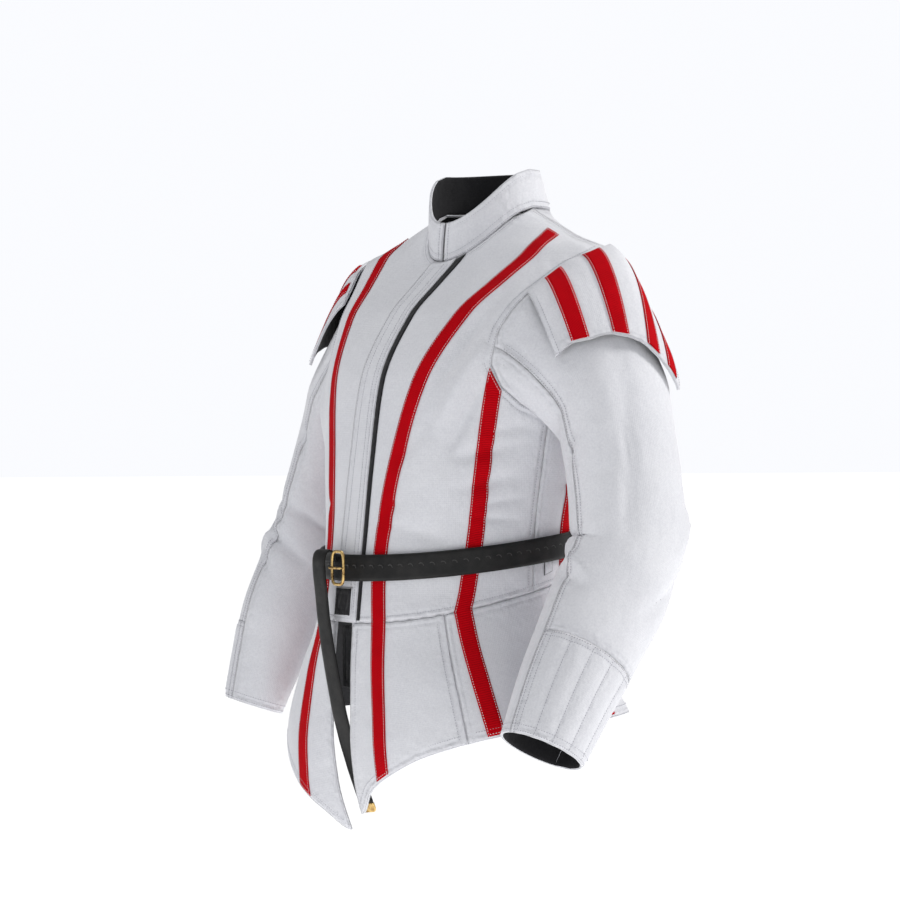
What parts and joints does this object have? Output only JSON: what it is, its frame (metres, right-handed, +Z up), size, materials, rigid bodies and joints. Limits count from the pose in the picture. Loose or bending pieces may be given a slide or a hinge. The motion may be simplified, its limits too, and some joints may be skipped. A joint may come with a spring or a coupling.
{
  "type": "fencing jacket",
  "caption": "Worn close-fitting white fencing jacket with stand collar, shoulder wings, quilted forearms, flared skirt, red tapes and a buckled black leather belt.",
  "frame": {"origin": "middle of the neck opening, level with the shoulder seams' neck ends, where the wearer's neck holds the jacket", "axes": "+Z up along the wearer's body, -Y to the wearer's front, +X to the wearer's left"},
  "size_m": [0.6596, 0.3647, 0.7909],
  "materials": {
    "white_cloth": "heavy close-woven white cotton, matt",
    "black_cloth": "black woven lining, matt",
    "red_tape": "red ribbed woven tape",
    "black_leather": "smooth black belt leather, low sheen",
    "brass": "polished cast brass"
  },
  "bodies": {
    "root": {"back": "white_cloth", "belt_band": "black_leather", "belt_chape": "brass", "belt_tail": "black_leather", "buckle_frame": "brass", "buckle_prong": "brass", "collar": "white_cloth", "collar_lining": "black_cloth", "forearm_quilt_left": "white_cloth", "forearm_quilt_right": "white_cloth", "front_left": "white_cloth", "front_right": "white_cloth", "patch": "black_cloth", "placket": "white_cloth", "side_label": "white_cloth", "skirt_back": "white_cloth", "skirt_front_left": "white_cloth", "skirt_front_right": "white_cloth", "skirt_side_left": "white_cloth", "skirt_side_right": "white_cloth", "skirt_tab": "black_cloth", "sleeve_outer_left": "white_cloth", "sleeve_outer_right": "white_cloth", "sleeve_under_left": "white_cloth", "sleeve_under_right": "white_cloth", "tape_front_left": "red_tape", "tape_front_right": "red_tape", "tape_side_back_left": "red_tape", "tape_side_back_right": "red_tape", "tape_side_front_left": "red_tape", "tape_side_front_right": "red_tape", "wing_left": "white_cloth", "wing_lining_left": "black_cloth", "wing_lining_right": "black_cloth", "wing_right": "white_cloth", "wing_tape_1_left": "red_tape", "wing_tape_1_right": "red_tape", "wing_tape_2_left": "red_tape", "wing_tape_2_right": "red_tape", "wing_tape_3_left": "red_tape", "wing_tape_3_right": "red_tape", "wing_tape_4_left": "red_tape", "wing_tape_4_right": "red_tape", "zip_underlap": "black_cloth"}
  },
  "joints": []
}
